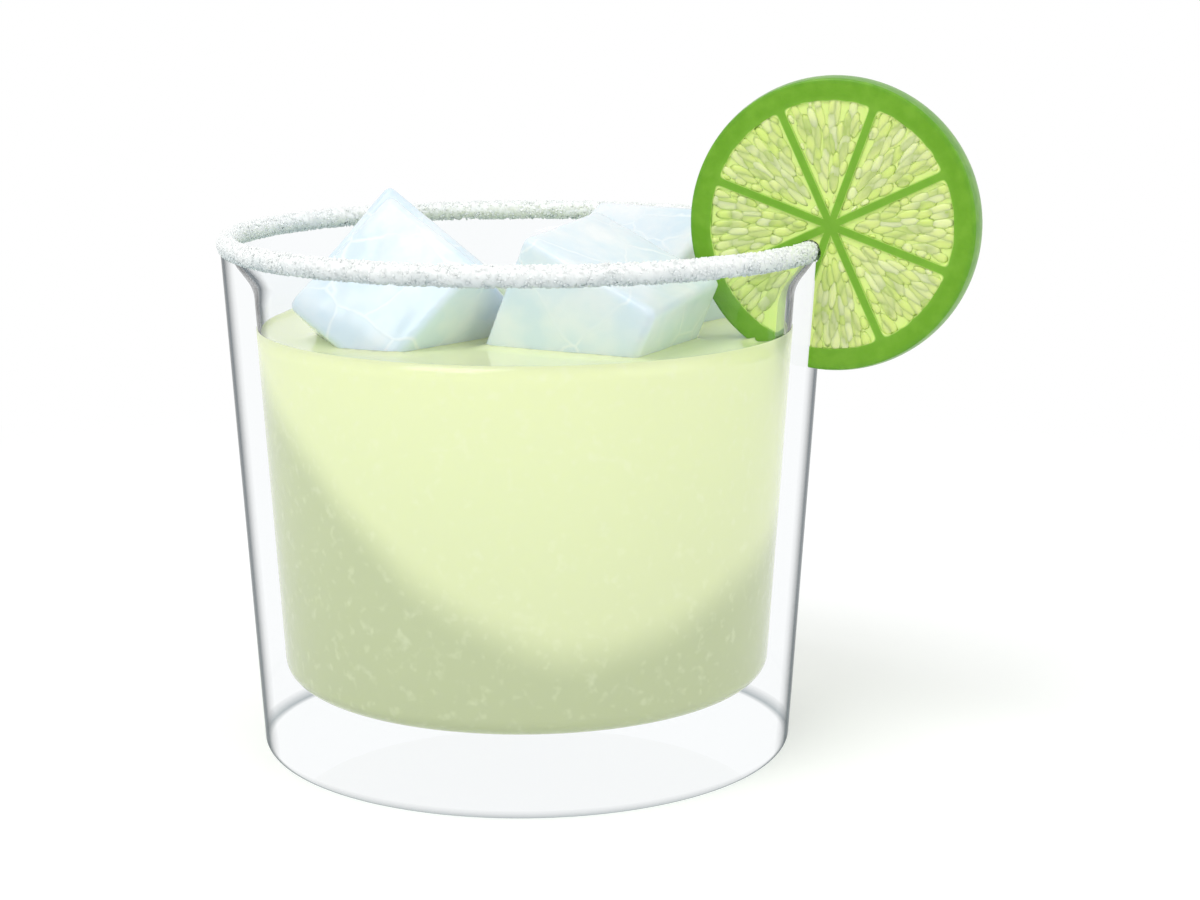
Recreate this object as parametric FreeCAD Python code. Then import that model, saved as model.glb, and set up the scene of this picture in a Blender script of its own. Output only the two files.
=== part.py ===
"""A caipirinha: a thick tumbler of lime drink with four ice cubes, a sugared lip
and a lime wheel pushed over the rim.

Units are millimetres. The origin is the centre of the glass's underside and +Z is up.
The wheel hangs at the +X side, turned a little towards -Y.
"""
import FreeCAD, Part
import math
import os

from FreeCAD import Vector

# Glass: a tumbler that widens evenly from the foot to a thin, fire-rounded lip.
rim_radius = 45.0
foot_radius = 40.3
glass_height = 77.4
wall = 4.8
base_thickness = 10.7
lip_thickness = 1.7
lip_taper_height = 9.0
foot_round = 1.6
floor_round = 3.0

# Sugar: a crust of round section that wraps the lip.
sugar_radius = 1.45

# Drink: fills the glass up to this depth above its floor.
drink_depth = 52.7
drink_clearance = 0.08

# Lime wheel: a slice with eight segments, slit from its lower edge to sit over the rim.
wheel_radius = 21.0
wheel_thickness = 5.3
wheel_azimuth = -20.5
wheel_centre_outside_lip = 3.0
wheel_centre_above_lip = 3.9
skin_bulge = 0.4
skin_edge_round = 0.35
rind_width = 3.4
segment_count = 8
segment_turn = 25.5
membrane_width = 1.2
segment_sink = 0.3
segment_corner = 1.2
slit_clearance = 0.3

# Ice: cubes from one tray, each melted to its own shares of the fresh edge.
ice_edge = 23.5
ice_round = 1.1
ice_clearance = 0.45
# name: (edge shares, azimuth, share of the drink's radius, centre above the drink, turn)
ice_cubes = {
    "ice_cube_front_left": ((0.85, 0.885, 0.925), -146.0, 0.515, 3.4, (-42.0, 27.0, -37.0)),
    "ice_cube_front_right": ((0.945, 0.91, 0.935), -53.5, 0.495, 2.6, (-28.0, 25.5, 6.0)),
    "ice_cube_back_left": ((0.90, 0.795, 0.79), 141.0, 0.575, 4.4, (-25.5, 35.0, -25.0)),
    "ice_cube_back_right": ((0.99, 0.79, 0.895), 26.5, 0.545, 3.6, (-38.5, 0.0, 31.0)),
}

# Places that follow from the sizes above.
lip_centre_height = glass_height - lip_thickness / 2
lip_centre_radius = rim_radius - lip_thickness / 2
taper_start = glass_height - lip_taper_height
drink_level = base_thickness + drink_depth
wheel_centre = Vector(lip_centre_radius + wheel_centre_outside_lip, 0,
                      lip_centre_height + wheel_centre_above_lip)
Z_AXIS = Vector(0, 0, 1)
Y_AXIS = Vector(0, 1, 0)
ORIGIN = Vector(0, 0, 0)


def outside_radius(height):
    """Radius of the glass's outer surface at a height."""
    return foot_radius + (rim_radius - foot_radius) * height / lip_centre_height


def inside_radius(height):
    """Radius of the glass's inner surface at a height below the thinning lip."""
    return outside_radius(height) - wall


def revolved(edges):
    """A solid of revolution about Z from profile edges in the XZ plane."""
    return Part.Face(Part.Wire(edges)).revolve(ORIGIN, Z_AXIS, 360)


def polyline(points):
    """Straight edges through (radius, height) points, in order."""
    corners = [Vector(radius, 0, height) for radius, height in points]
    return [Part.makeLine(a, b) for a, b in zip(corners, corners[1:])]


def round_ring(solid, radius, height, fillet):
    """Fillet the circular edge of a revolved solid that has this radius and height."""
    for edge in solid.Edges:
        curve = edge.Curve
        if not isinstance(curve, Part.Circle):
            continue
        if abs(curve.Radius - radius) < 0.01 and abs(curve.Center.z - height) < 0.01:
            return solid.makeFillet(fillet, [edge])
    raise ValueError("no circular edge at radius %.2f, height %.2f" % (radius, height))


def lip_edges(growth):
    """The rounded lip and the inner curve that thins the wall, grown outwards."""
    half = lip_thickness / 2 + growth
    outer = Vector(lip_centre_radius + half, 0, lip_centre_height)
    top = Vector(lip_centre_radius, 0, lip_centre_height + half)
    inner = Vector(lip_centre_radius - half, 0, lip_centre_height)
    foot = Vector(inside_radius(taper_start) - growth, 0, taper_start)
    drop = 0.45 * (lip_centre_height - taper_start)
    lean = inside_radius(taper_start + drop) - inside_radius(taper_start)
    curve = Part.BezierCurve()
    curve.setPoles([inner, inner - Z_AXIS * drop, foot + Vector(lean, 0, drop), foot])
    return [Part.Arc(outer, top, inner).toShape(), curve.toShape()], outer, foot


def glass():
    """Solid base, even tapered wall and a thinner rounded lip."""
    lip, outer, thinning = lip_edges(0)
    outside = polyline([(0, 0), (foot_radius, 0), (outer.x, outer.z)])
    inside = polyline([(thinning.x, thinning.z),
                       (inside_radius(base_thickness), base_thickness),
                       (0, base_thickness), (0, 0)])
    solid = revolved(outside + lip + inside)
    solid = round_ring(solid, foot_radius, 0, foot_round)
    return round_ring(solid, inside_radius(base_thickness), base_thickness, floor_round)


def sugar_rim(glass_solid):
    """The sugar crust: a ring of round section centred on the lip, less the lip."""
    ring = Part.makeTorus(lip_centre_radius, sugar_radius, Vector(0, 0, lip_centre_height))
    return ring.cut(glass_solid)


def rim_slit():
    """The room that the wall, its lip and the sugar take inside the lime wheel."""
    lip, outer, thinning = lip_edges(slit_clearance)
    outside = polyline([(foot_radius + slit_clearance, 0), (outer.x, outer.z)])
    inside = polyline([(thinning.x, thinning.z),
                       (inside_radius(0) - slit_clearance, 0),
                       (foot_radius + slit_clearance, 0)])
    crust = Part.makeTorus(lip_centre_radius, sugar_radius + slit_clearance,
                           Vector(0, 0, lip_centre_height))
    return revolved(outside + lip + inside).fuse(crust)


def placed_at_rim(shape):
    """Move a shape made round the Y axis to the wheel's place on the rim."""
    turn = FreeCAD.Rotation(Z_AXIS, wheel_azimuth)
    moved = shape.copy()
    moved.Placement = FreeCAD.Placement(turn.multVec(wheel_centre), turn)
    return moved


def wheel_disc(growth):
    """The slice before its cuts: a disc about Y with softly bulging skin."""
    half = wheel_thickness / 2 + growth
    face_radius = wheel_radius - skin_bulge + growth
    edge = [Vector(face_radius, -half, 0), Vector(wheel_radius + growth, 0, 0),
            Vector(face_radius, half, 0)]
    profile = [Part.makeLine(Vector(0, -half, 0), edge[0]),
               Part.Arc(*edge).toShape(),
               Part.makeLine(edge[2], Vector(0, half, 0)),
               Part.makeLine(Vector(0, half, 0), Vector(0, -half, 0))]
    return Part.Face(Part.Wire(profile)).revolve(ORIGIN, Y_AXIS, 360)


def segment_pocket(bisector, side):
    """One sunk flesh segment, a rounded wedge cut into one face of the wheel."""
    half_sector = math.pi / segment_count
    flesh_radius = wheel_radius - rind_width
    inset = math.asin(membrane_width / 2 / flesh_radius)
    tip_distance = membrane_width / 2 / math.sin(half_sector)

    def at(radius, angle):
        return Vector(radius * math.cos(angle), 0, radius * math.sin(angle))

    tip = at(tip_distance, bisector)
    start = at(flesh_radius, bisector - half_sector + inset)
    crest = at(flesh_radius, bisector)
    end = at(flesh_radius, bisector + half_sector - inset)
    outline = Part.Wire([Part.makeLine(tip, start), Part.Arc(start, crest, end).toShape(),
                         Part.makeLine(end, tip)])
    wedge = Part.Face(outline).extrude(Y_AXIS * (2 * segment_sink))
    depth_edges = [e for e in wedge.Edges if abs(e.tangentAt(e.FirstParameter).y) > 0.9]
    corners = [e for e in depth_edges if (e.Vertexes[0].Point - tip).dot(crest) > 0.1]
    wedge = wedge.makeFillet(segment_corner, corners)
    sunk_from = side * wheel_thickness / 2 - segment_sink
    wedge.translate(Y_AXIS * sunk_from)
    return wedge


def lime_wheel():
    """A lime slice with sunk segments on both faces and a slit for the rim."""
    disc = wheel_disc(0)
    rims = [e for e in disc.Edges if isinstance(e.Curve, Part.Circle)
            and abs(e.Curve.Radius - (wheel_radius - skin_bulge)) < 0.01]
    disc = disc.makeFillet(skin_edge_round, rims)
    step = 2 * math.pi / segment_count
    bisectors = [math.radians(segment_turn) + step * (k + 0.5) for k in range(segment_count)]
    pockets = [segment_pocket(angle, side) for angle in bisectors for side in (-1, 1)]
    wheel = placed_at_rim(disc.cut(Part.makeCompound(pockets)))
    return wheel.cut(rim_slit())


class Block:
    """A turned box, used to place the ice."""

    def __init__(self, edges, centre, rotation):
        self.edges = edges
        self.centre = centre
        self.rotation = rotation
        self.axes = [rotation.multVec(axis) for axis in (Vector(1, 0, 0), Y_AXIS, Z_AXIS)]

    def reach(self, direction):
        """How far the box extends from its centre along a direction."""
        return sum(abs(axis.dot(direction)) * edge / 2
                   for axis, edge in zip(self.axes, self.edges))

    def corners(self):
        """The eight corners."""
        halves = [axis * (edge / 2) for axis, edge in zip(self.axes, self.edges)]
        return [self.centre + halves[0] * i + halves[1] * j + halves[2] * k
                for i in (-1, 1) for j in (-1, 1) for k in (-1, 1)]

    def gap_from(self, other):
        """The widest separating gap from another box, and its direction."""
        directions = self.axes + other.axes
        directions += [a.cross(b) for a in self.axes for b in other.axes]
        apart = self.centre - other.centre
        best_gap, best_direction = -math.inf, Z_AXIS
        for direction in directions:
            if direction.Length < 0.001:
                continue
            unit = Vector(direction).normalize()
            if unit.dot(apart) < 0:
                unit = unit * -1
            gap = unit.dot(apart) - self.reach(unit) - other.reach(unit)
            if gap > best_gap:
                best_gap, best_direction = gap, unit
        return best_gap, best_direction


def tray_blocks():
    """The cubes where they were dropped, before they settle."""
    blocks = {}
    for name, (shares, azimuth, radial, rise, turn) in ice_cubes.items():
        angle = math.radians(azimuth)
        radius = radial * inside_radius(drink_level)
        centre = Vector(radius * math.cos(angle), radius * math.sin(angle), drink_level + rise)
        edges = [share * ice_edge for share in shares]
        blocks[name] = Block(edges, centre, FreeCAD.Rotation(*turn))
    return blocks


def push_from_glass(block):
    """Move a cube inwards off the wall and up off the floor where it is too close."""
    moved = 0
    for corner in block.corners():
        if corner.z < glass_height:
            allowed = inside_radius(min(corner.z, taper_start)) - ice_clearance
            radial = Vector(corner.x, corner.y, 0)
            excess = radial.Length - allowed
            if excess > 0:
                block.centre -= radial.normalize() * excess
                moved = max(moved, excess)
        sunk = base_thickness + ice_clearance - corner.z
        if sunk > 0:
            block.centre += Z_AXIS * sunk
            moved = max(moved, sunk)
    return moved


def settled_blocks():
    """Nudge the cubes until each clears the others, the wheel and the glass.

    A nudge also lifts a cube a little, so a crowded glass heaps its ice higher.
    """
    blocks = tray_blocks()
    turn = FreeCAD.Rotation(Z_AXIS, wheel_azimuth)
    wheel = Block([2 * wheel_radius, wheel_thickness, 2 * wheel_radius],
                  turn.multVec(wheel_centre), turn)
    cubes = list(blocks.values())
    largest = math.inf
    rounds = 0
    while largest > 0.01 and rounds < 600:
        rounds += 1
        largest = max(push_from_glass(cube) for cube in cubes)
        for index, cube in enumerate(cubes):
            for other in cubes[:index] + [wheel]:
                gap, direction = cube.gap_from(other)
                short = ice_clearance - gap
                if short <= 0:
                    continue
                nudge = direction * (short / 2) + Z_AXIS * (short / 10)
                cube.centre += nudge
                if other is not wheel:
                    other.centre -= direction * (short / 2)
                largest = max(largest, short)
    return blocks


def ice_cube(block, growth=0.0):
    """A cube with melted, rounded edges, or the room it takes when grown."""
    edges = [edge + 2 * growth for edge in block.edges]
    solid = Part.makeBox(*edges)
    solid.translate(Vector(*edges) * -0.5)
    solid = solid.makeFillet(ice_round + growth, solid.Edges)
    solid.Placement = FreeCAD.Placement(block.centre, block.rotation)
    return solid


def drink(blocks):
    """The liquid up to its level, cut round the ice and the wheel's dipping edge."""
    floor = base_thickness + drink_clearance
    foot = inside_radius(base_thickness) - drink_clearance
    body = revolved(polyline([(0, floor), (foot, floor),
                              (inside_radius(drink_level) - drink_clearance, drink_level),
                              (0, drink_level), (0, floor)]))
    body = round_ring(body, foot, floor, floor_round)
    for block in blocks.values():
        body = body.cut(ice_cube(block, drink_clearance))
    return body.cut(placed_at_rim(wheel_disc(drink_clearance)))


def main():
    """Build every piece and write one STEP file for each."""
    blocks = settled_blocks()
    vessel = glass()
    pieces = {
        "glass": vessel,
        "sugar_rim": sugar_rim(vessel),
        "drink": drink(blocks),
        "lime_wheel": lime_wheel(),
    }
    for name, block in blocks.items():
        pieces[name] = ice_cube(block)
    os.makedirs("parts", exist_ok=True)
    for name, shape in pieces.items():
        shape.exportStep("parts/" + name + ".step")


main()
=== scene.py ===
"""The looks of a caipirinha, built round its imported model.

A thick tumbler of cloudy lime drink, melting ice cubes, a sugared lip and a lime
wheel. Lengths in the settings are millimetres unless a unit is named, and the mesh
is in metres.
"""
import math
import random

import bmesh
import bpy
from bpy.props import FloatProperty, FloatVectorProperty, IntProperty, PointerProperty
from mathutils import Matrix, Vector, noise
from mathutils.bvhtree import BVHTree


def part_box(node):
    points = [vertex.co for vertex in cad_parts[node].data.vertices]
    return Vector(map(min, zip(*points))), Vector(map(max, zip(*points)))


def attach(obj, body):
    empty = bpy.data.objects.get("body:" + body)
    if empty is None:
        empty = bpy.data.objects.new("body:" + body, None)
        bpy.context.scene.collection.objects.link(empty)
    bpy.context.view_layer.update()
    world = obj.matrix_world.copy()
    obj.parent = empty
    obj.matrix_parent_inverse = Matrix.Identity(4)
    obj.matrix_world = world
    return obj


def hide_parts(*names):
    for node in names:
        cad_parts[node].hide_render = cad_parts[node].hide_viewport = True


bl_info = {
    "name": "Caipirinha looks",
    "version": (1, 0, 0),
    "blender": (4, 5, 0),
    "location": "3D View > Sidebar > Caipirinha",
    "description": "Glass, drink, ice, sugar and lime of a caipirinha, round a fixed frame",
    "category": "Object",
}

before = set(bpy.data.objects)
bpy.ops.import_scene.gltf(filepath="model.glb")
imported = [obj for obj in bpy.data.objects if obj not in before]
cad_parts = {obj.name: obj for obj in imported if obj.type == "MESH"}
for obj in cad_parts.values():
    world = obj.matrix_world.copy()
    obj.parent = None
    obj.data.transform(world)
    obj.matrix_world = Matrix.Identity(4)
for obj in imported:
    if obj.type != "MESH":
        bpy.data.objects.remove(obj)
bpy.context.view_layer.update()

MM = 0.001
BODY = "root"
ICE_NODES = [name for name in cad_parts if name.startswith("ice_cube")]
MERGE = 1e-6               # metres; vertices of a spun shape nearer than this are one
WHITE = (1.0, 1.0, 1.0, 1.0)
MIXED_COLOUR = 2           # the Mix node's output for a colour
USUAL_NOISE = {"From Min": 0.3, "From Max": 0.7}  # nearly all of a noise lies between


# ---------------------------------------------------------------- colours and nodes

def linear(hex_colour):
    """A linear RGBA colour from an sRGB hex value."""
    channels = [int(hex_colour[i:i + 2], 16) / 255 for i in (1, 3, 5)]
    curve = [c / 12.92 if c <= 0.04045 else ((c + 0.055) / 1.055) ** 2.4 for c in channels]
    return (*curve, 1.0)


def colour_setting(name, hex_colour, description):
    """A colour property with an sRGB hex default."""
    return FloatVectorProperty(name=name, description=description, subtype="COLOR", size=4,
                               min=0.0, max=1.0, default=linear(hex_colour))


def number_setting(name, default, description, **limits):
    """A number property, with any limits or subtype it has."""
    return FloatProperty(name=name, description=description, default=default, **limits)


def length_setting(name, default, description, least=0.0):
    """A length property in millimetres."""
    return number_setting(name, default, description + ", in mm", min=least)


def add_node(tree, kind, inputs=None, stops=None, **settings):
    """Add a shader node, set its settings and inputs, and link what comes from nodes.

    An input may be a value, another node's socket, or a node for its first socket.
    """
    made = tree.nodes.new("ShaderNode" + kind)
    for name, value in settings.items():
        setattr(made, name, value)
    for key, value in (inputs or {}).items():
        if isinstance(value, bpy.types.Node):
            value = value.outputs[0]
        if isinstance(value, bpy.types.NodeSocket):
            tree.links.new(value, made.inputs[key])
        else:
            made.inputs[key].default_value = value
    if stops:
        elements = made.color_ramp.elements
        while len(elements) < len(stops):
            elements.new(1.0)
        for element, (position, colour) in zip(elements, stops):
            element.position = position
            element.color = colour
    return made


def new_material(name):
    """A material and its node tree, still empty."""
    material = bpy.data.materials.new(name)
    material.use_nodes = True
    material.node_tree.nodes.clear()
    return material, material.node_tree


def wavering(tree, value, place, size, depth, spread=USUAL_NOISE, **noise_inputs):
    """A node that adds to a value a noise of a size and a depth in mm."""
    drifts = add_node(tree, "TexNoise", {"Vector": place, "Scale": 1 / (size * MM),
                                         **noise_inputs})
    shift = add_node(tree, "MapRange", {
        "Value": drifts, **spread, "To Min": -depth * MM, "To Max": depth * MM}, clamp=False)
    return add_node(tree, "Math", {0: value, 1: shift}, operation="ADD")


def distance_out(tree, along, across):
    """The distance from an axis, from the two sockets of a place square to it."""
    flat = add_node(tree, "CombineXYZ", {"X": along, "Y": across})
    return add_node(tree, "VectorMath", {0: flat}, operation="LENGTH").outputs["Value"]


# ---------------------------------------------------------------- settings

class GlassSettings(bpy.types.PropertyGroup):
    """The tumbler's glass."""

    clear: colour_setting("Clear glass", "#fafcfd", "Colour seen straight through the wall")
    # Painted shade: the edge colour darkens the wall where it is seen edge on, standing in for
    # the dark lines that refraction and reflection draw there.
    edge: colour_setting("Glass edge", "#27333a", "Colour where the wall is seen edge on")
    edge_start: number_setting("Edge start", 0.72, "How edge on the wall starts to darken",
                               min=0.0, max=1.0)
    edge_full: number_setting("Edge full", 0.86, "How edge on the wall is darkest",
                              min=0.0, max=1.0)
    # Painted shade: the heel colour paints a dark line along the rounded edge it stands on,
    # standing in for the table refracted there.
    heel: colour_setting("Heel", "#56676e", "Colour of the rounded edge it stands on")
    heel_height: length_setting("Heel height", 1.6, "How far up the darker heel reaches", 0.1)
    wave_size: length_setting("Wave size", 16.0, "Length of the moulded wall's faint waves", 1.0)
    sides: IntProperty(name="Sides", description="Steps round the spun glass",
                       default=256, min=64)


class DrinkSettings(bpy.types.PropertyGroup):
    """The cloudy lime drink."""

    # Painted shade: the drink's colours darken from its top down to its foot, and the low shade
    # colour banks up from below, lowest to the right; the drifts waver that edge.
    surface: colour_setting("Top of the drink", "#f4fcc4", "Colour near the surface")
    middle: colour_setting("Middle of the drink", "#e4eabb", "Colour above the settled pulp")
    low_shade: colour_setting("Settled pulp", "#ced7aa", "Colour where the pulp has sunk")
    deep: colour_setting("Foot of the drink", "#c4cca2", "Colour near the glass's floor")
    pulp: colour_setting("Pulp", "#fbffe2", "Colour of the fine pulp that floats in it")
    pulp_size: length_setting("Pulp size", 1.6, "Size of the floating pulp", 0.2)
    pulp_shown: number_setting("Pulp shown", 0.22, "How clearly the floating pulp stands out",
                               min=0.0, max=1.0)
    low_shade_height: length_setting("Settled height", 12.0, "Depth of the settled pulp")
    low_shade_rise: number_setting("Settled rise", 0.0157,
                                 "Height in mm gained per mm squared aside", min=0.0)
    low_shade_middle: length_setting("Settled middle", 9.0, "Where it lies lowest, to the right",
                                   -40.0)
    low_shade_blur: length_setting("Settled blur", 9.0, "Depth over which it thins out", 0.1)
    drift_size: length_setting("Drift size", 40.0, "Size of the drink's slow drifts", 1.0)
    drift_depth: length_setting("Drift depth", 1.2, "How far the drifts lift the pulp")
    bite: length_setting("Bite", 0.15, "How far it reaches into the glass")
    meniscus: length_setting("Meniscus", 0.55, "How high the surface climbs what it touches")
    meniscus_reach: length_setting("Meniscus reach", 0.9,
                                   "How far from a wall it starts to climb", 0.1)
    rings: IntProperty(name="Rings", description="Rings of the surface's mesh", default=56)


class IceSettings(bpy.types.PropertyGroup):
    """Melting ice."""

    body: colour_setting("Ice", "#dcebf5", "Colour of the clear ice")
    cloud: colour_setting("Trapped air", "#f6fbfe", "Colour of the cracks and cloudy drifts")
    crack_spacing: length_setting("Crack spacing", 13.0, "How far apart the fine cracks are",
                                  2.0)
    frost_size: length_setting("Frost size", 11.0, "Size of the drifts of trapped air", 1.0)
    frost_bend: length_setting("Frost bend", 4.0, "How far the frost bends the cracks")
    voxel: length_setting("Voxel", 0.4, "Mesh size of the melted form", 0.2)
    melt: length_setting("Melt", 0.12, "Depth of the melted dimples")
    dimple: length_setting("Dimple", 8.0, "Size of a melted dimple", 1.0)
    ripple: length_setting("Ripple", 2.4, "Size of the finer ripples", 0.5)


class SugarSettings(bpy.types.PropertyGroup):
    """The sugar on the lip."""

    crystal: colour_setting("Sugar", "#f9fcfb", "Colour of the crystals")
    # Painted shade: this grey darkens the crust's underside, with patches at its edge.
    underside_shade: colour_setting("Damp sugar", "#ccd6d8", "Colour where the lime's juice soaks it")
    underside_shade_patch: length_setting("Damp patch", 3.5, "Size of the patches at the damp's edge", 0.5)
    underside_shade_creep: length_setting("Damp creep", 0.3, "How far those patches creep up")
    grain: length_setting("Grain", 0.55, "Edge of a crystal", 0.1)
    grains: IntProperty(name="Grains", description="Loose crystals on the crust", default=7500)
    heap: number_setting("Heap", 1.3, "How much taller than wide the crust is", min=1.0)
    swell: length_setting("Swell", 0.12, "How far the packed crust swells and sinks")
    swell_size: length_setting("Swell size", 7.0, "Length of those swells", 1.0)
    steps: IntProperty(name="Steps", description="Steps round the crust", default=1100)
    sides: IntProperty(name="Sides", description="Sides of the crust's section", default=26)


class LimeSettings(bpy.types.PropertyGroup):
    """The lime wheel."""

    zest: colour_setting("Zest", "#5f9a22", "Colour of the skin")
    fresh: colour_setting("Fresh mottling", "#82b832", "Colour of the rind's paler patches")
    band: colour_setting("Cut rind", "#6aa416", "Colour of the rind where it is cut")
    membrane: colour_setting("Membrane", "#74ab28", "Colour between the segments")
    flesh: colour_setting("Flesh", "#e0f690", "Colour of the flesh")
    sac_light: colour_setting("Pale sac", "#ecfdae", "The palest juice sacs")
    sac_deep: colour_setting("Deep sac", "#d6f47e", "The deepest juice sacs")
    mottle_size: length_setting("Mottle size", 2.2, "Size of the paler patches", 0.2)
    pore_spacing: length_setting("Pore spacing", 1.0, "How far apart the oil glands are", 0.2)
    cut_waver: length_setting("Cut waver", 2.0, "Size of the wavers in the flesh's outline", 0.2)
    waver_depth: length_setting("Waver depth", 0.25, "How far that outline wavers")
    sac_length: length_setting("Sac length", 4.4, "Length of a juice sac", 1.0)
    sac_width: length_setting("Sac width", 1.35, "Width of a juice sac", 0.3)
    sac_depth: length_setting("Sac depth", 0.62, "Thickness of a juice sac", 0.1)
    sac_sink: length_setting("Sac sink", 0.3, "How deep the sacs' middles lie in the face")
    rind: length_setting("Rind width", 3.4, "Skin and pith together")
    segments: IntProperty(name="Segments", description="Segments of the lime", default=8)
    segment_corner: length_setting("Segment corner", 1.1, "Softness of a segment's corners")
    turn: number_setting("Turn", math.radians(25.5), "Where the first membrane points",
                         subtype="ANGLE")
    membrane_width: length_setting("Membrane width", 1.2, "Width between two segments")


class StageSettings(bpy.types.PropertyGroup):
    """Camera, light and floor."""

    floor: colour_setting("Floor", "#f2f3f3", "Colour of the table")
    floor_radius: length_setting("Floor radius", 4000.0, "How far the table reaches")
    floor_gap: length_setting("Floor gap", 0.02, "How far the table lies below the foot")
    floor_lift: number_setting("Floor lift", 0.2, "Light added to the table the eye sees")
    shadow_room: length_setting("Shadow room", 130.0, "How far out the table keeps shadows")
    camera_distance: length_setting("Camera distance", 353.4, "How far before the glass it is")
    camera_height: length_setting("Camera height", 116.1, "How high the camera stands")
    camera_turn: number_setting("Camera turn", 0.0317, "How far the camera turns to its right",
                                subtype="ANGLE")
    camera_tilt: number_setting("Camera tilt", 0.2, "How far the camera looks down",
                                subtype="ANGLE")
    lens: number_setting("Lens", 71.2, "Focal length in mm")
    key_power: number_setting("Key light", 3.4, "Power in watts")
    key_place: FloatVectorProperty(name="Key place", subtype="TRANSLATION",
                                   description="Where the key light hangs, in m",
                                   default=(-0.36, -0.40, 0.80))
    fill_power: number_setting("Fill light", 0.9, "Power in watts")
    fill_place: FloatVectorProperty(name="Fill place", subtype="TRANSLATION",
                                    description="Where the fill light hangs, in m",
                                    default=(0.6, -0.35, 0.35))
    lamp_size: length_setting("Lamp size", 500.0, "Side of each square lamp")
    surround: number_setting("Surround", 0.72, "Strength of the pale room round the glass")


class CaipirinhaSettings(bpy.types.PropertyGroup):
    """All the settings of the scene."""

    glass: PointerProperty(type=GlassSettings)
    drink: PointerProperty(type=DrinkSettings)
    ice: PointerProperty(type=IceSettings)
    sugar: PointerProperty(type=SugarSettings)
    lime: PointerProperty(type=LimeSettings)
    stage: PointerProperty(type=StageSettings)


# ---------------------------------------------------------------- shared mesh work

def put_in_scene(name, mesh_data, material, replaced=(), smooth=True):
    """Make a finished piece of a bmesh, with its material and body, and hide the frame's parts
    it replaces.
    """
    mesh = bpy.data.meshes.new(name)
    mesh_data.to_mesh(mesh)
    mesh_data.free()
    for polygon in mesh.polygons:
        polygon.use_smooth = smooth
    mesh.materials.append(material)
    piece = bpy.data.objects.new(name, mesh)
    bpy.context.scene.collection.objects.link(piece)
    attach(piece, BODY)
    if replaced:
        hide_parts(*replaced)
    return piece


def cad_copy(node_name):
    """A merged bmesh copy of a node of the frame."""
    copied = bmesh.new()
    copied.from_mesh(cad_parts[node_name].data)
    bmesh.ops.remove_doubles(copied, verts=copied.verts, dist=2 * MERGE)
    return copied


def applied(mesh_data, *modifiers):
    """Run modifiers, each a type with its settings, on a bmesh and return the result."""
    mesh = bpy.data.meshes.new("work")
    mesh_data.to_mesh(mesh)
    mesh_data.free()
    work = bpy.data.objects.new("work", mesh)
    bpy.context.scene.collection.objects.link(work)
    for kind, settings in modifiers:
        modifier = work.modifiers.new(kind.lower(), kind)
        for name, value in settings.items():
            setattr(modifier, name, value)
    evaluated = work.evaluated_get(bpy.context.evaluated_depsgraph_get())
    result = bmesh.new()
    result.from_mesh(evaluated.to_mesh())
    evaluated.to_mesh_clear()
    bpy.data.objects.remove(work)
    bpy.data.meshes.remove(mesh)
    return result


def half_section(node_name):
    """The half profile of a round node, as (radius, height) from the axis's foot on."""
    section = cad_copy(node_name)
    for normal, both_sides in (((1, 0, 0), False), ((0, 1, 0), True)):
        everything = section.verts[:] + section.edges[:] + section.faces[:]
        bmesh.ops.bisect_plane(section, geom=everything, dist=MERGE / 10, plane_co=(0, 0, 0),
                               plane_no=normal, clear_inner=True, clear_outer=both_sides)
    on_axis = [v for v in section.verts if v.co.x < 10 * MERGE]
    here = min(on_axis, key=lambda v: v.co.z)
    points, seen = [], set()
    while here is not None:
        seen.add(here)
        points.append((max(here.co.x, 0.0), here.co.z))
        ahead = [e.other_vert(here) for e in here.link_edges]
        ahead = [v for v in ahead if v not in seen]
        here = max(ahead, key=lambda v: v.co.x) if ahead else None
    section.free()
    return points


def spun(points, sides):
    """A closed solid of revolution about Z from (radius, height) points, in metres."""
    solid = bmesh.new()
    verts = [solid.verts.new((radius, 0, height)) for radius, height in points]
    edges = [solid.edges.new(pair) for pair in zip(verts, verts[1:])]
    bmesh.ops.spin(solid, geom=verts + edges, cent=(0, 0, 0), axis=(0, 0, 1), dvec=(0, 0, 0),
                   angle=math.tau, steps=sides, use_merge=True, use_duplicate=False)
    bmesh.ops.remove_doubles(solid, verts=solid.verts, dist=MERGE)
    bmesh.ops.dissolve_degenerate(solid, dist=MERGE / 10, edges=solid.edges)
    bmesh.ops.recalc_face_normals(solid, faces=solid.faces)
    return solid


def add_copy(gathered, template, matrix, layer=None, value=0.0):
    """Add a turned copy of a small template mesh to a gathered bmesh."""
    verts = [gathered.verts.new(matrix @ vert.co) for vert in template.verts]
    for face in template.faces:
        gathered.faces.new([verts[vert.index] for vert in face.verts])
    if layer:
        for vert in verts:
            vert[layer] = value


# ---------------------------------------------------------------- glass

def heel_shade_mask(tree, look, place, foot_radius):
    """A node that is 1 on the rounded edge the glass stands on, where shade is painted, and 0
    elsewhere.
    """
    heel = look.heel_height * MM
    parts = add_node(tree, "SeparateXYZ", {"Vector": place})
    out = distance_out(tree, parts.outputs["X"], parts.outputs["Y"])
    low = add_node(tree, "MapRange", {
        "Value": parts.outputs["Z"], "From Max": heel, "To Min": 1.0, "To Max": 0.0})
    outer = add_node(tree, "MapRange", {
        "Value": out, "From Min": foot_radius - heel, "From Max": foot_radius - heel / 2})
    return add_node(tree, "Math", {0: low, 1: outer}, operation="MULTIPLY")


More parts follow.
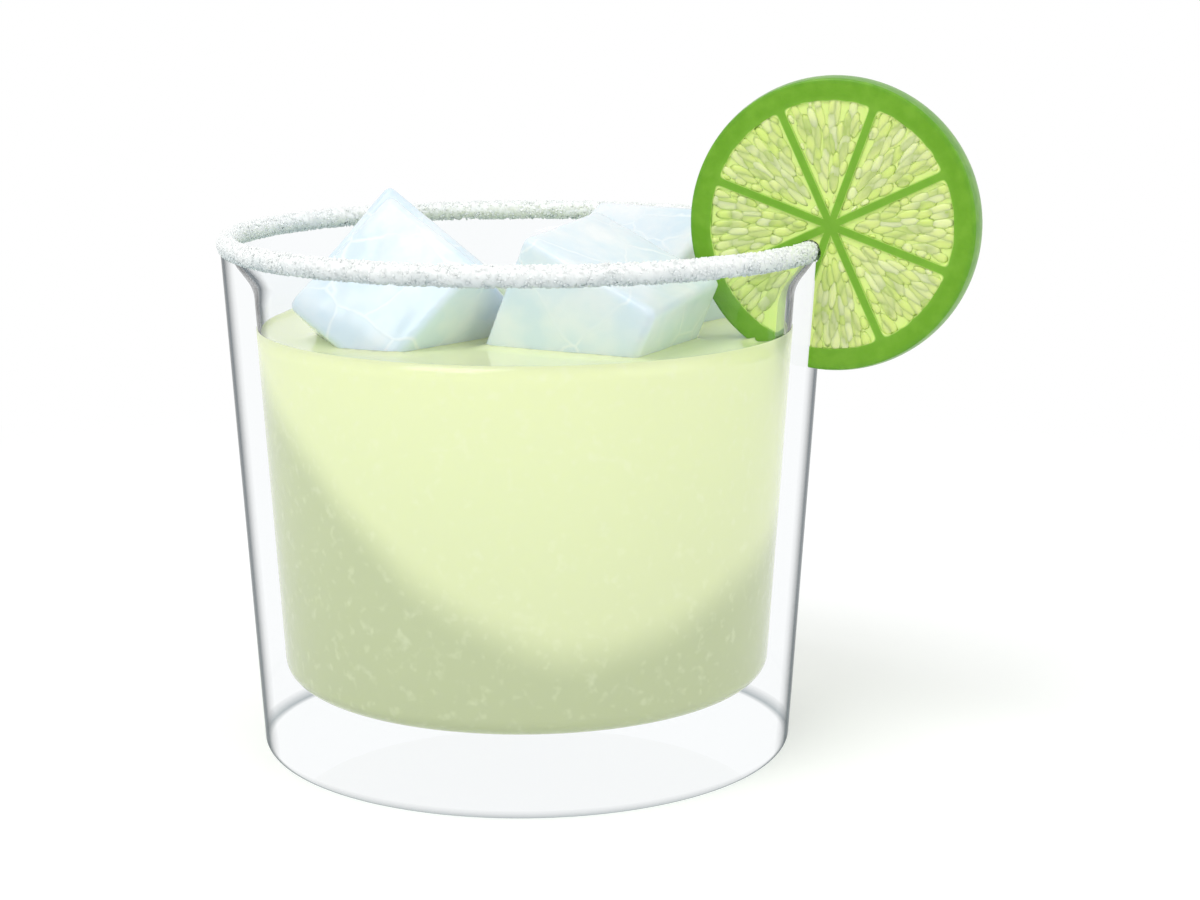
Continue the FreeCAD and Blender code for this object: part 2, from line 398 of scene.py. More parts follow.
def pressed_glass(look, foot_radius):
    """Clear soda-lime glass, pressed in a mould and fire polished.

    It is clear straight through, with painted shade where the eye meets it edge on and
    along the heel, and has the faint waviness of a moulded wall in its highlights. The body
    bends light hardly at all, which keeps the wall clear beside the drink, and the coat has
    the gloss of real glass. Lamps shine straight through it.
    """
    material, tree = new_material("pressed soda-lime glass")
    place = add_node(tree, "TexCoord").outputs["Object"]
    facing = add_node(tree, "LayerWeight", {"Blend": 0.5})
    # Painted shade: seen edge on, the wall turns towards the dark edge colour, and along the
    # heel towards the dark heel colour.
    edge_on_shade = add_node(tree, "ValToRGB", {"Fac": facing.outputs["Facing"]}, stops=[
        (0.0, look.clear), (look.edge_start, look.clear), (look.edge_full, look.edge)])
    tint = add_node(tree, "Mix", {
        "Factor": heel_shade_mask(tree, look, place, foot_radius), "A": edge_on_shade, "B": look.heel},
        data_type="RGBA")
    waves = add_node(tree, "TexNoise", {
        "Vector": place, "Scale": 1 / (look.wave_size * MM), "Detail": 1.0})
    bump = add_node(tree, "Bump", {"Height": waves, "Strength": 0.01, "Distance": 1 * MM})
    body = add_node(tree, "BsdfPrincipled", {
        "Base Color": tint.outputs[MIXED_COLOUR], "Roughness": 0.0, "IOR": 1.012,
        "Transmission Weight": 1.0, "Coat Weight": 0.25, "Coat IOR": 1.5,
        "Coat Roughness": 0.02, "Coat Normal": bump})
    path = add_node(tree, "LightPath")
    lighting = add_node(tree, "Math", {
        0: path.outputs["Is Shadow Ray"], 1: path.outputs["Is Diffuse Ray"]},
        operation="MAXIMUM")
    open_to_lamps = add_node(tree, "BsdfTransparent", {"Color": look.clear})
    shader = add_node(tree, "MixShader", {0: lighting, 1: body, 2: open_to_lamps})
    add_node(tree, "OutputMaterial", {"Surface": shader})
    return material


class CAIPIRINHA_OT_glass(bpy.types.Operator):
    """Spin the tumbler smooth from the frame's own profile"""

    bl_idname = "caipirinha.glass"
    bl_label = "Tumbler"

    def execute(self, context):
        look = context.scene.caipirinha.glass
        section = half_section("glass")
        foot_radius = max(radius for radius, height in section
                          if height < look.heel_height * MM)
        tumbler = spun(section, look.sides)
        put_in_scene("tumbler", tumbler, pressed_glass(look, foot_radius), ["glass"])
        return {"FINISHED"}


# ---------------------------------------------------------------- drink

SNUG = 0.99            # what stands in the drink is cut out this much smaller, so it touches
RING_CROWDING = 0.85   # below 1 the surface's rings lie closer near the wall


def above_low_shade(tree, look, across, height, floor_height):
    """A node that is 0 in the painted low shade, which banks up towards the sides, and 1 above
    it.
    """
    aside = add_node(tree, "Math", {
        0: across, 1: look.low_shade_middle * MM}, operation="SUBTRACT")
    squared = add_node(tree, "Math", {0: aside, 1: aside}, operation="MULTIPLY")
    banked = add_node(tree, "Math", {
        0: squared, 1: -look.low_shade_rise / MM, 2: height}, operation="MULTIPLY_ADD")
    low_shade_top = floor_height + look.low_shade_height * MM
    half_blur = look.low_shade_blur * MM / 2
    return add_node(tree, "MapRange", {
        "Value": banked, "From Min": low_shade_top - half_blur, "From Max": low_shade_top + half_blur},
        interpolation_type="SMOOTHSTEP")


def cloudy_lime_drink(look, floor_height, level):
    """Lime juice and spirit with sugar, stirred cloudy.

    It is pale and milky at the top, with painted shade that darkens it downwards and
    banks up from below, lowest to the right, and with fine flecks of pulp.
    """
    material, tree = new_material("cloudy lime drink")
    place = add_node(tree, "TexCoord").outputs["Object"]
    parts = add_node(tree, "SeparateXYZ", {"Vector": place})
    height = wavering(tree, parts.outputs["Z"], place, look.drift_size, look.drift_depth,
                      Detail=4.0, Distortion=0.6)
    above = above_low_shade(tree, look, parts.outputs["X"], height, floor_height)
    upward = add_node(tree, "MapRange", {
        "Value": height, "From Min": floor_height, "From Max": level})
    # Painted shade: lighter towards the top, darker towards the foot, and darker still under the
    # banked low shade.
    lighter_above = add_node(tree, "ValToRGB", {"Fac": upward}, stops=[
        (0.2, look.middle), (1.0, look.surface)])
    darker_below = add_node(tree, "ValToRGB", {"Fac": upward}, stops=[
        (0.0, look.deep), (0.9, look.low_shade)])
    tone = add_node(tree, "Mix", {"Factor": above, "A": darker_below, "B": lighter_above}, data_type="RGBA")
    pulp = add_node(tree, "TexNoise", {
        "Vector": place, "Detail": 3.0, "Scale": 1 / (look.pulp_size * MM)})
    fleck = add_node(tree, "MapRange", {
        "Value": pulp, "From Min": 0.56, "From Max": 0.74, "To Max": look.pulp_shown})
    flecked = add_node(tree, "Mix", {
        "Factor": fleck, "A": tone.outputs[MIXED_COLOUR], "B": look.pulp}, data_type="RGBA")
    shader = add_node(tree, "BsdfPrincipled", {
        "Base Color": flecked.outputs[MIXED_COLOUR], "Roughness": 0.12, "IOR": 1.35,
        "Subsurface Weight": 0.25, "Subsurface Radius": (1.0, 1.0, 0.5),
        "Subsurface Scale": 3 * MM})
    add_node(tree, "OutputMaterial", {"Surface": shader})
    return material


def drink_profile(look, level):
    """The drink's half profile, which reaches into the glass, and its floor's height."""
    section = half_section("glass")
    lip_index = max(range(len(section)), key=lambda i: section[i][1])
    down_inside = section[lip_index:]
    inside = [point for point in down_inside if point[1] < level]
    inside.reverse()
    bite = look.bite * MM
    floor_height = inside[0][1]
    wall = [(radius + bite if radius > 0 else 0.0, height - bite) for radius, height in inside]
    below, above = inside[-1], down_inside[-len(inside) - 1]
    share = (level - below[1]) / (above[1] - below[1])
    wall_radius = below[0] + (above[0] - below[0]) * share
    climb = look.meniscus * MM
    reach = look.meniscus_reach * MM
    wall.append((wall_radius + bite, level + climb))
    surface = []
    for ring in range(look.rings):
        radius = wall_radius * (1 - ring / look.rings) ** RING_CROWDING
        surface.append((radius, level + climb * math.exp(-(wall_radius - radius) / reach)))
    surface.append((0.0, level))
    return wall + surface, floor_height


def shrunken(node_name, share):
    """A copy of a node drawn in a little towards its centre."""
    solid = cad_copy(node_name)
    low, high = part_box(node_name)
    centre = (Vector(low) + Vector(high)) / 2
    bmesh.ops.scale(solid, vec=(share, share, share), space=Matrix.Translation(-centre),
                    verts=solid.verts)
    return solid


def cut_from(solid, cutters):
    """Cut bmesh cutters out of a bmesh solid, one after another."""
    for cutter in cutters:
        mesh = bpy.data.meshes.new("cutter")
        cutter.to_mesh(mesh)
        cutter.free()
        holder = bpy.data.objects.new("cutter", mesh)
        bpy.context.scene.collection.objects.link(holder)
        solid = applied(solid, ("BOOLEAN", {"operation": "DIFFERENCE", "object": holder,
                                            "solver": "EXACT"}))
        bpy.data.objects.remove(holder)
        bpy.data.meshes.remove(mesh)
    return solid


def climb_round(solid, node_names, level, look):
    """Raise the surface where it meets what stands in it."""
    trees = [BVHTree.FromBMesh(shrunken(name, SNUG)) for name in node_names]
    still = 0.02 * MM      # vertices farther from the level aren't on the open surface
    for vert in solid.verts:
        if abs(vert.co.z - level) > still:
            continue
        nearest = min(tree.find_nearest(vert.co)[3] for tree in trees)
        vert.co.z += look.meniscus * MM * math.exp(-nearest / (look.meniscus_reach * MM))


class CAIPIRINHA_OT_drink(bpy.types.Operator):
    """Fill the tumbler, with the surface climbing the glass, the ice and the lime"""

    bl_idname = "caipirinha.drink"
    bl_label = "Drink"

    def execute(self, context):
        settings = context.scene.caipirinha
        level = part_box("drink")[1][2]
        profile, floor_height = drink_profile(settings.drink, level)
        liquid = spun(profile, settings.glass.sides)
        sunk = ICE_NODES + ["lime_wheel"]
        liquid = cut_from(liquid, [shrunken(name, SNUG) for name in sunk])
        climb_round(liquid, sunk, level, settings.drink)
        material = cloudy_lime_drink(settings.drink, floor_height, level)
        put_in_scene("lime_drink", liquid, material, ["drink"])
        return {"FINISHED"}


# ---------------------------------------------------------------- ice

def melting_ice(look):
    """Tray ice, cloudy with trapped air and wet from melting.

    Its faces are milky and smooth, and show drifts of frost and fine cracks.
    """
    material, tree = new_material("melting tray ice")
    place = add_node(tree, "TexCoord").outputs["Object"]
    frost = add_node(tree, "TexNoise", {
        "Vector": place, "Detail": 5.0, "Roughness": 0.6, "Scale": 1 / (look.frost_size * MM)})
    clear = add_node(tree, "MapRange", {
        "Value": frost, "From Min": 0.35, "From Max": 0.65, "To Max": 0.06})
    bend = [look.frost_bend * MM] * 3
    bent = add_node(tree, "VectorMath", {
        0: frost.outputs["Color"], 1: bend, 2: place}, operation="MULTIPLY_ADD")
    cracks = add_node(tree, "TexVoronoi", {
        "Vector": bent, "Scale": 1 / (look.crack_spacing * MM)}, feature="DISTANCE_TO_EDGE")
    crack = add_node(tree, "MapRange", {
        "Value": cracks.outputs["Distance"], "From Max": 0.03, "To Min": 0.75, "To Max": 0.0})
    haze = add_node(tree, "MapRange", {"Value": frost, "From Min": 0.42, "From Max": 0.68})
    white = add_node(tree, "Math", {0: crack, 1: haze}, operation="MAXIMUM")
    colour = add_node(tree, "Mix", {
        "Factor": white, "A": look.body, "B": look.cloud}, data_type="RGBA")
    rough = add_node(tree, "MapRange", {
        "Value": frost, "From Min": 0.4, "From Max": 0.7, "To Min": 0.08, "To Max": 0.25})
    bump = add_node(tree, "Bump", {"Height": crack, "Strength": 0.12, "Distance": 0.2 * MM})
    shader = add_node(tree, "BsdfPrincipled", {
        "Base Color": colour.outputs[MIXED_COLOUR], "Roughness": rough, "IOR": 1.31,
        "Transmission Weight": clear, "Normal": bump, "Subsurface Weight": 0.2,
        "Subsurface Radius": (0.8, 1.0, 1.0), "Subsurface Scale": 1.5 * MM,
        "Coat Weight": 0.15, "Coat Roughness": 0.03})
    add_node(tree, "OutputMaterial", {"Surface": shader})
    return material


def melted_cube(node_name, look, seed):
    """A cube of the frame with its faces and edges softened by melting."""
    voxels = ("REMESH", {"mode": "VOXEL", "voxel_size": look.voxel * MM})
    cube = applied(cad_copy(node_name), voxels)
    bmesh.ops.smooth_vert(cube, verts=cube.verts, factor=0.5, use_axis_x=True,
                          use_axis_y=True, use_axis_z=True)
    cube.normal_update()
    own_dimples = Vector((7.1, 3.7, 5.3)) * seed
    dimple_share, ripple_share, loss = 0.75, 0.25, 0.2
    for vert in cube.verts:
        broad = noise.noise(vert.co / (look.dimple * MM) + own_dimples)
        fine = noise.noise(vert.co / (look.ripple * MM) + own_dimples)
        depth = dimple_share * broad + ripple_share * fine - loss
        vert.co += vert.normal * (depth * look.melt * MM)
    return cube


class CAIPIRINHA_OT_ice(bpy.types.Operator):
    """Melt each ice cube's edges and faces"""

    bl_idname = "caipirinha.ice"
    bl_label = "Ice cubes"

    def execute(self, context):
        look = context.scene.caipirinha.ice
        material = melting_ice(look)
        for seed, node_name in enumerate(ICE_NODES):
            cube = melted_cube(node_name, look, seed)
            piece_name = node_name.replace("cube", "melting")
            put_in_scene(piece_name, cube, material, [node_name])
        return {"FINISHED"}


# ---------------------------------------------------------------- sugar

# Shares of a crystal's edge.
CRUST_SINK = 0.55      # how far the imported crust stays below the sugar's outline
CRYSTAL_SIZE = 0.85    # side of the template cube, before it is drawn out
CORNER_REACH = 0.67    # how far its farthest corner lies from its middle
LUMP = 0.28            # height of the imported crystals' lumps


def sugar_crystals(look, height, tube):
    """Granulated sugar, clear crystals that pile up white and glint here and there.

    Its underside is painted greyer, a painted shade under the ring with a patchy edge.
    """
    material, tree = new_material("granulated sugar")
    place = add_node(tree, "TexCoord").outputs["Object"]
    parts = add_node(tree, "SeparateXYZ", {"Vector": place})
    # Painted shade: greyer from a little above the crust's middle downwards, with a patchy edge,
    # standing in for the shade under the ring.
    shade_edge_height = wavering(tree, parts.outputs["Z"], place, look.underside_shade_patch, look.underside_shade_creep,
                           Detail=2.0)
    unshaded_above, fully_shaded_below = height + 0.4 * tube, height - tube
    underside_shaded = add_node(tree, "MapRange", {
        "Value": shade_edge_height, "From Min": unshaded_above, "From Max": fully_shaded_below})
    tone = add_node(tree, "Mix", {
        "Factor": underside_shaded, "A": look.crystal, "B": look.underside_shade}, data_type="RGBA")
    cells = add_node(tree, "TexVoronoi", {"Vector": place, "Scale": 1 / (look.grain * MM)})
    glint = add_node(tree, "MapRange", {
        "Value": cells.outputs["Color"], "To Min": 0.15, "To Max": 0.6})
    shader = add_node(tree, "BsdfPrincipled", {
        "Base Color": tone.outputs[MIXED_COLOUR], "Roughness": glint,
        "IOR": 1.54, "Subsurface Weight": 0.25, "Subsurface Radius": (1.0, 1.0, 1.0),
        "Subsurface Scale": 0.4 * MM})
    add_node(tree, "OutputMaterial", {"Surface": shader})
    return material


def crust_place():
    """Centre radius, centre height and tube radius of the sugar crust."""
    low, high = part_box("sugar_rim")
    lip_radius = max(half_section("glass"), key=lambda point: point[1])[0]
    tube = (high[0] - low[0]) / 2 - lip_radius
    return lip_radius, high[2] - tube, tube


def heaped(point, centre, height, heap):
    """A point of a round crust, moved for the real crust's taller section."""
    around = math.atan2(point.y, point.x)
    out = math.hypot(point.x, point.y) - centre
    radius = centre + (out if out > 0 else out * heap)
    return Vector((radius * math.cos(around), radius * math.sin(around),
                   height + (point.z - height) * heap))


class CAIPIRINHA_OT_sugar(bpy.types.Operator):
    """Wrap the lip in a crust of crystals with loose grains on it"""

    bl_idname = "caipirinha.sugar"
    bl_label = "Sugar rim"

    def execute(self, context):
        look = context.scene.caipirinha.sugar
        centre, height, tube = crust_place()
        material = sugar_crystals(look, height, tube)
        put_in_scene("sugar_crust", self.crust(look, centre, height, tube), material,
                     ["sugar_rim"])
        put_in_scene("sugar_grains", self.grains(look, centre, height, tube), material,
                     ["sugar_rim"], smooth=False)
        return {"FINISHED"}

    def crust(self, look, centre, height, tube):
        """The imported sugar, as relief on a ring."""
        grain = look.grain * MM
        ring = bmesh.new()
        stand_up = Matrix.Translation((centre, 0, height)) @ Matrix.Rotation(math.pi / 2, 4, "X")
        bmesh.ops.create_circle(ring, segments=look.sides, radius=tube - CRUST_SINK * grain,
                                matrix=stand_up)
        bmesh.ops.spin(ring, geom=ring.verts[:] + ring.edges[:], cent=(0, 0, 0),
                       axis=(0, 0, 1), angle=math.tau, steps=look.steps, use_merge=True)
        bmesh.ops.remove_doubles(ring, verts=ring.verts, dist=MERGE)
        bmesh.ops.recalc_face_normals(ring, faces=ring.faces)
        ring.normal_update()
        for vert in ring.verts:
            lump = LUMP * grain * noise.cell(vert.co / grain)
            swell = look.swell * MM * noise.noise(vert.co / (look.swell_size * MM))
            vert.co += vert.normal * (lump + swell)
            vert.co = heaped(vert.co, centre, height, look.heap)
        return ring

    def grains(self, look, centre, height, tube):
        """Loose crystals, each a small turned cuboid half sunk in the crust."""
        draw = random.Random(11)
        crystal = bmesh.new()
        bmesh.ops.create_cube(crystal, size=CRYSTAL_SIZE)
        crystal.verts.index_update()
        crystals = bmesh.new()
        for _ in range(look.grains):
            around = draw.uniform(0, math.tau)
            about = draw.uniform(0, math.tau)
            edge = look.grain * MM * draw.uniform(0.6, 1.0)
            reach = tube - CORNER_REACH * edge
            radius = centre + reach * math.cos(about)
            spot = Vector((radius * math.cos(around), radius * math.sin(around),
                           height + reach * math.sin(about)))
            spot = heaped(spot, centre, height, look.heap)
            turn = Matrix.Rotation(draw.uniform(0, math.tau), 4, Vector(
                (draw.uniform(-1, 1), draw.uniform(-1, 1), draw.uniform(-1, 1))).normalized())
            shape = Matrix.Diagonal((edge * draw.uniform(0.7, 1.0),
                                     edge * draw.uniform(0.6, 0.9), edge * 0.8, 1.0))
            add_copy(crystals, crystal, Matrix.Translation(spot) @ turn @ shape)
        crystal.free()
        return crystals


# ---------------------------------------------------------------- lime

# How the juice sacs are laid: shares of a sac's length along a spoke, or of its width
# across it, and the fewest spokes of a row.
ROW_STEP, ROW_JITTER = 0.42, 0.22
SIDE_STEP, SIDE_JITTER = 0.82, 0.3
LEAST_ROOM = 0.15
LEAST_SPOKES = 8
FIRST_ROW = 2.2 * MM   # nearer the middle the segments are too narrow for a sac
SLIT_GAP = 0.75 * MM   # how far the sacs keep from the glass and its sugar
SLIT_NEAR = 2.5 * MM   # beyond this the nearest face doesn't tell inside from outside


def wheel_place():
    """The wheel's placement matrix, radius and thickness, measured on the frame.

    In the wheel's own frame X points away from the glass, Y is its axis and Z is up.
    """
    low, high = (Vector(corner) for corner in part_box("lime_wheel"))
    centre = (low + high) / 2
    azimuth = math.atan2(centre.y, centre.x)
    place = Matrix.Translation(centre) @ Matrix.Rotation(azimuth, 4, "Z")
    across = place.to_3x3() @ Vector((0, 1, 0))
    heights = [(v.co - centre).dot(across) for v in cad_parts["lime_wheel"].data.vertices]
    return place, (high.z - low.z) / 2, max(heights) - min(heights)


def flesh_mask(tree, look, parts, out, flesh_radius):
    """A node that is 1 on the flesh and 0 on its membranes and on the rind."""
    angle = add_node(tree, "Math", {
        0: parts.outputs["Z"], 1: parts.outputs["X"]}, operation="ARCTAN2")
    from_first = add_node(tree, "Math", {0: angle, 1: look.turn}, operation="SUBTRACT")
    off_membrane = add_node(tree, "Math", {
        0: from_first, 1: math.pi / look.segments}, operation="PINGPONG")
    beside = add_node(tree, "Math", {0: off_membrane, 1: out}, operation="MULTIPLY")
    in_sector = add_node(tree, "Math", {
        0: beside, 1: look.membrane_width * MM / 2}, operation="SUBTRACT")
    in_round = add_node(tree, "Math", {0: flesh_radius, 1: out}, operation="SUBTRACT")
    inside = add_node(tree, "Math", {
        0: in_sector, 1: in_round, 2: look.segment_corner * MM}, operation="SMOOTH_MIN")
    half_blur = 0.12 * MM
    return add_node(tree, "MapRange", {
        "Value": inside, "From Min": -half_blur, "From Max": half_blur})


def mottled_rind(tree, look, local, out, flesh_radius, radius):
    """A socket with the rind's colour, from the membranes out to the skin."""
    under_skin = radius - 0.2 * MM
    skin = add_node(tree, "MapRange", {
        "Value": out, "From Min": flesh_radius, "From Max": under_skin})
    rind = add_node(tree, "ValToRGB", {"Fac": skin}, stops=[
        (0.0, look.membrane), (0.25, look.band), (0.7, look.band), (1.0, look.zest)])
    mottle = add_node(tree, "TexNoise", {
        "Vector": local, "Detail": 3.0, "Scale": 1 / (look.mottle_size * MM)})
    paler = add_node(tree, "MapRange", {
        "Value": mottle, "From Min": 0.42, "From Max": 0.7, "To Max": 0.45})
    mottled = add_node(tree, "Mix", {
        "Factor": paler, "A": rind, "B": look.fresh}, data_type="RGBA")
    return mottled.outputs[MIXED_COLOUR]


def cut_lime(look, place, radius):
    """A cut lime: waxy dimpled zest, a mottled green rind, green membranes, wet flesh."""
    material, tree = new_material("cut lime")
    coordinates = add_node(tree, "TexCoord")
    local = add_node(tree, "Mapping", {
        "Vector": coordinates.outputs["Object"], "Location": place.to_translation(),
        "Rotation": place.to_euler()}, vector_type="TEXTURE")
    parts = add_node(tree, "SeparateXYZ", {"Vector": local})
    true_out = distance_out(tree, parts.outputs["X"], parts.outputs["Z"])
    out = wavering(tree, true_out, local, look.cut_waver, look.waver_depth, spread={},
                   Detail=2.0)
    flesh_radius = radius - look.rind * MM
    colour = add_node(tree, "Mix", {
        "Factor": flesh_mask(tree, look, parts, out, flesh_radius),
        "A": mottled_rind(tree, look, local, out, flesh_radius, radius), "B": look.flesh},
        data_type="RGBA")
    glands = add_node(tree, "TexVoronoi", {
        "Vector": local, "Scale": 1 / (look.pore_spacing * MM)})
    dimples = add_node(tree, "Bump", {
        "Height": glands.outputs["Distance"], "Strength": 0.25, "Distance": 0.15 * MM})
    shader = add_node(tree, "BsdfPrincipled", {
        "Base Color": colour.outputs[MIXED_COLOUR], "Roughness": 0.32, "IOR": 1.4,
        "Subsurface Weight": 0.25, "Subsurface Radius": (0.7, 1.0, 0.3),
        "Subsurface Scale": 1.5 * MM, "Normal": dimples})
    add_node(tree, "OutputMaterial", {"Surface": shader})
    return material


def juice_sacs(look):
    """Citrus juice sacs: thin clear skins full of juice, wet and uneven in colour."""
    material, tree = new_material("lime juice sacs")
    tint = add_node(tree, "Attribute", attribute_name="tint")
    colour = add_node(tree, "ValToRGB", {"Fac": tint.outputs["Fac"]}, stops=[
        (0.0, look.sac_deep), (0.5, look.flesh), (1.0, look.sac_light)])
    shader = add_node(tree, "BsdfPrincipled", {
        "Base Color": colour, "Roughness": 0.3, "IOR": 1.36,
        "Subsurface Weight": 0.4, "Subsurface Radius": (0.8, 1.0, 0.4),
        "Subsurface Scale": 1.5 * MM, "Coat Weight": 0.12, "Coat Roughness": 0.08})
    add_node(tree, "OutputMaterial", {"Surface": shader})
    return material


def on_face(out, angle, face):
    """A point of the wheel, in its own frame: out from its middle, and on a plane."""
    return Vector((out * math.cos(angle), face, out * math.sin(angle)))


class CAIPIRINHA_OT_lime(bpy.types.Operator):
    """Finish the cut lime and fill its segments with juice sacs"""

    bl_idname = "caipirinha.lime"
    bl_label = "Lime wheel"

    def execute(self, context):
        look = context.scene.caipirinha.lime
        place, radius, thickness = wheel_place()
        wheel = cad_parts["lime_wheel"]
        wheel.data.materials.clear()
        wheel.data.materials.append(cut_lime(look, place, radius))
        sacs = self.sacs(look, place, radius, thickness)
        put_in_scene("lime_sacs", sacs, juice_sacs(look))
        return {"FINISHED"}

    def room_inside(self, look, flesh_radius, out, angle):
        """How far a point lies inside its segment's outline."""
        half = math.pi / look.segments
        off = abs((angle - look.turn) % (2 * half) - half)
        beside = out * math.sin(half - off) - look.membrane_width * MM / 2
        return min(beside, flesh_radius - out)

    def rows(self, length, width, flesh_radius, draw):
        """Where one face's sacs lie, row by row: how far out, and the angle round it."""
        row = FIRST_ROW
        while row < flesh_radius:
            count = max(LEAST_SPOKES, int(math.tau * row / (SIDE_STEP * width)))
            shift = draw.uniform(0, 1)
            for index in range(count):
                aside = draw.uniform(-SIDE_JITTER, SIDE_JITTER)
                angle = math.tau / count * (index + shift + aside)
                yield row + draw.uniform(-ROW_JITTER, ROW_JITTER) * length, angle
            row += ROW_STEP * length

    def sacs(self, look, place, radius, thickness):
        """Tapered sacs on both faces that point from the wheel's middle to its rind."""
        draw = random.Random(5)
        flesh_radius = radius - look.rind * MM
        length, width = look.sac_length * MM, look.sac_width * MM
        sac = self.sac_template()
        rim_parts = [BVHTree.FromBMesh(cad_copy(name)) for name in ("glass", "sugar_rim")]
        filled = bmesh.new()
        tint = filled.verts.layers.float.new("tint")
        for side in (-1, 1):
            face = side * (thickness / 2 - look.sac_sink * MM)
            for out, angle in self.rows(length, width, flesh_radius, draw):
                room = self.room_inside(look, flesh_radius, out, angle)
                if room < LEAST_ROOM * width:
                    continue
                # Near its segment's outline a sac is smaller.
                size = (min(length, 2.6 * room + 0.5 * width), min(width, 2.4 * room))
                along = [place @ on_face(out + end * size[0] / 2, angle, face)
                         for end in (-1, 0, 1)]
                if any(self.in_the_slit(spot, rim_parts) for spot in along):
                    continue
                matrix = place @ self.sac_matrix(look, on_face(out, angle, face), angle,
                                                 size, draw)
                add_copy(filled, sac, matrix, tint, draw.random())
        sac.free()
        return filled

    def in_the_slit(self, spot, rim_parts):
        """True where the glass or its sugar takes the flesh's place."""
        for tree in rim_parts:
            nearest, normal, _, distance = tree.find_nearest(spot)
            if distance < SLIT_NEAR and (spot - nearest).dot(normal) < SLIT_GAP:
                return True
        return False

    def sac_template(self):
        """A drop one unit long, thicker at its +X end."""
        sac = bmesh.new()
        bmesh.ops.create_uvsphere(sac, u_segments=8, v_segments=6, radius=0.5)
        for vert in sac.verts:
            taper = 0.72 + 0.56 * (vert.co.x + 0.5)
            vert.co.y *= taper
            vert.co.z *= taper
        sac.verts.index_update()
        return sac

    def sac_matrix(self, look, spot, angle, size, draw):
        """Where one sac lies, how it leans and how large it is."""
        length, width = (extent * draw.uniform(0.8, 1.1) for extent in size)
        lean = draw.uniform(-0.16, 0.16)
        aim = Matrix.Rotation(-(angle + lean), 4, "Y")
        depth = look.sac_depth * MM * draw.uniform(0.8, 1.0)
        return Matrix.Translation(spot) @ aim @ Matrix.Diagonal((length, depth, width, 1.0))


# ---------------------------------------------------------------- stage

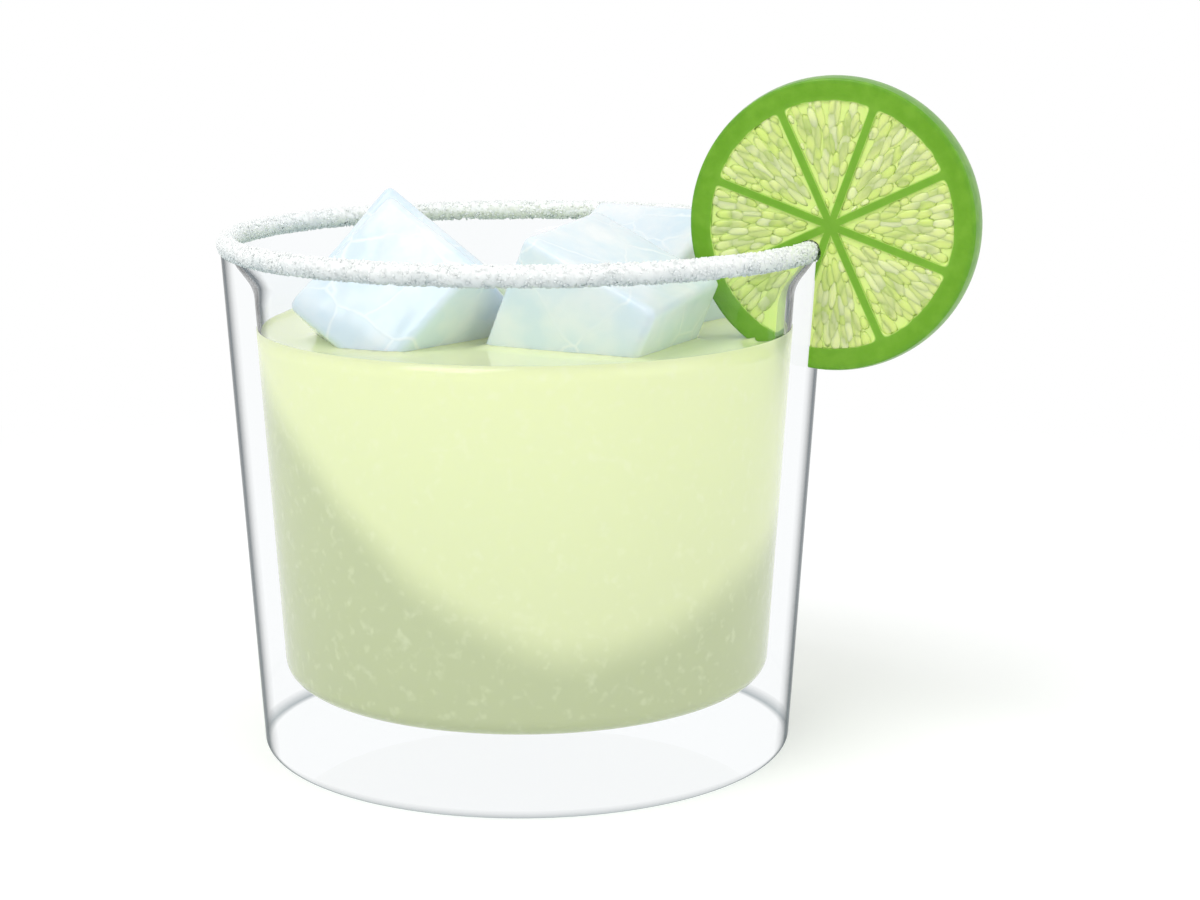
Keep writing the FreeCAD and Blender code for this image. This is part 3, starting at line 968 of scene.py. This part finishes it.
class CAIPIRINHA_OT_stage(bpy.types.Operator):
    """Set the floor, the pale surround, the soft lights and the camera"""

    bl_idname = "caipirinha.stage"
    bl_label = "Stage"

    def execute(self, context):
        look = context.scene.caipirinha.stage
        self.floor(look)
        self.surround(context.scene, look)
        self.light("key", look.key_power, look.key_place, look.lamp_size * MM)
        self.light("fill", look.fill_power, look.fill_place, look.lamp_size * MM)
        self.camera(context.scene, look)
        context.scene.view_settings.view_transform = "Standard"
        return {"FINISHED"}

    def sight(self, tree):
        """Two sockets: 1 where the eye sees, and 1 where it sees through glass.

        The eye sees straight, mirrored or through glass, but not by scattered light.
        """
        path = add_node(tree, "LightPath")
        unscattered = add_node(tree, "Math", {
            0: path.outputs["Diffuse Depth"], 1: 0.5}, operation="LESS_THAN")
        through = add_node(tree, "Math", {
            0: path.outputs["Is Transmission Ray"], 1: unscattered}, operation="MULTIPLY")
        plain = add_node(tree, "Math", {
            0: path.outputs["Is Camera Ray"], 1: path.outputs["Is Glossy Ray"]},
            operation="MAXIMUM")
        either = add_node(tree, "Math", {
            0: plain, 1: path.outputs["Is Transmission Ray"]}, operation="MAXIMUM")
        seen = add_node(tree, "Math", {0: either, 1: unscattered}, operation="MULTIPLY")
        return seen, through

    def white_table(self, look):
        """A matt white laminate top: it shows the glass's shadow and is white beyond."""
        material, tree = new_material("matt white laminate")
        place = add_node(tree, "TexCoord").outputs["Object"]
        away = add_node(tree, "VectorMath", {0: place}, operation="LENGTH")
        room = look.shadow_room * MM
        far = add_node(tree, "MapRange", {
            "Value": away.outputs["Value"], "From Min": room, "From Max": 2.2 * room},
            interpolation_type="SMOOTHSTEP")
        seen, through = self.sight(tree)
        beyond = add_node(tree, "Math", {0: through, 1: far}, operation="MAXIMUM")
        faded = add_node(tree, "Math", {0: seen, 1: beyond}, operation="MULTIPLY")
        matt = add_node(tree, "BsdfDiffuse", {"Color": look.floor})
        lift = add_node(tree, "Emission", {"Color": WHITE, "Strength": look.floor_lift})
        lifted = add_node(tree, "AddShader", {0: matt, 1: lift})
        lit = add_node(tree, "MixShader", {0: seen, 1: matt, 2: lifted})
        white = add_node(tree, "Emission", {"Color": WHITE, "Strength": 1.0})
        shader = add_node(tree, "MixShader", {0: faded, 1: lit, 2: white})
        add_node(tree, "OutputMaterial", {"Surface": shader})
        return material

    def floor(self, look):
        """A wide round table top."""
        top = bmesh.new()
        below = Matrix.Translation((0, 0, -look.floor_gap * MM))
        bmesh.ops.create_circle(top, cap_ends=True, segments=96, radius=look.floor_radius * MM,
                                matrix=below)
        mesh = bpy.data.meshes.new("table")
        top.to_mesh(mesh)
        top.free()
        mesh.materials.append(self.white_table(look))
        table = bpy.data.objects.new("table", mesh)
        bpy.context.scene.collection.objects.link(table)

    def surround(self, scene, look):
        """A white backdrop for the eye and the glass, a softer one for the light."""
        world = bpy.data.worlds.new("pale surround")
        world.use_nodes = True
        tree = world.node_tree
        tree.nodes.clear()
        seen, _ = self.sight(tree)
        strength = add_node(tree, "MapRange", {
            "Value": seen, "To Min": look.surround, "To Max": 1.0})
        glow = add_node(tree, "Background", {"Color": WHITE, "Strength": strength})
        add_node(tree, "OutputWorld", {"Surface": glow})
        scene.world = world

    def light(self, name, power, place, size):
        """A soft square lamp aimed at the middle of the glass."""
        lamp = bpy.data.lights.new(name, "AREA")
        lamp.shape = "SQUARE"
        lamp.size = size
        lamp.energy = power
        holder = bpy.data.objects.new(name, lamp)
        holder.location = place
        aim = Vector((0, 0, 50 * MM)) - Vector(place)
        holder.rotation_euler = aim.to_track_quat("-Z", "Y").to_euler()
        bpy.context.scene.collection.objects.link(holder)

    def camera(self, scene, look):
        """A camera before the glass, a little above it."""
        data = bpy.data.cameras.new("camera")
        data.lens = look.lens
        data.sensor_width = 36.0
        data.clip_start = 10 * MM
        camera = bpy.data.objects.new("camera", data)
        camera.location = Vector((0, -look.camera_distance, look.camera_height)) * MM
        camera.rotation_euler = (math.pi / 2 - look.camera_tilt, 0, -look.camera_turn)
        scene.collection.objects.link(camera)
        scene.camera = camera


# ---------------------------------------------------------------- panel and run

OPERATORS = (CAIPIRINHA_OT_stage, CAIPIRINHA_OT_glass, CAIPIRINHA_OT_drink,
             CAIPIRINHA_OT_ice, CAIPIRINHA_OT_sugar, CAIPIRINHA_OT_lime)


class CAIPIRINHA_PT_panel(bpy.types.Panel):
    """The caipirinha's settings and steps"""

    bl_idname = "CAIPIRINHA_PT_panel"
    bl_label = "Caipirinha"
    bl_space_type = "VIEW_3D"
    bl_region_type = "UI"
    bl_category = "Caipirinha"

    def draw(self, context):
        settings = context.scene.caipirinha
        for operator in OPERATORS:
            part = operator.bl_idname.split(".")[1]
            box = self.layout.box()
            box.operator(operator.bl_idname)
            group = getattr(settings, part)
            for name in type(group).__annotations__:
                box.prop(group, name)


CLASSES = (GlassSettings, DrinkSettings, IceSettings, SugarSettings, LimeSettings,
           StageSettings, CaipirinhaSettings, *OPERATORS, CAIPIRINHA_PT_panel)


def register():
    """Register the classes and the scene's settings."""
    for part in CLASSES:
        bpy.utils.register_class(part)
    bpy.types.Scene.caipirinha = PointerProperty(type=CaipirinhaSettings)


def unregister():
    """Undo register."""
    del bpy.types.Scene.caipirinha
    for part in reversed(CLASSES):
        bpy.utils.unregister_class(part)


def main():
    """Build every piece."""
    register()
    bpy.ops.caipirinha.stage()
    bpy.ops.caipirinha.glass()
    bpy.ops.caipirinha.drink()
    bpy.ops.caipirinha.ice()
    bpy.ops.caipirinha.sugar()
    bpy.ops.caipirinha.lime()


if __name__ == "__main__":
    main()
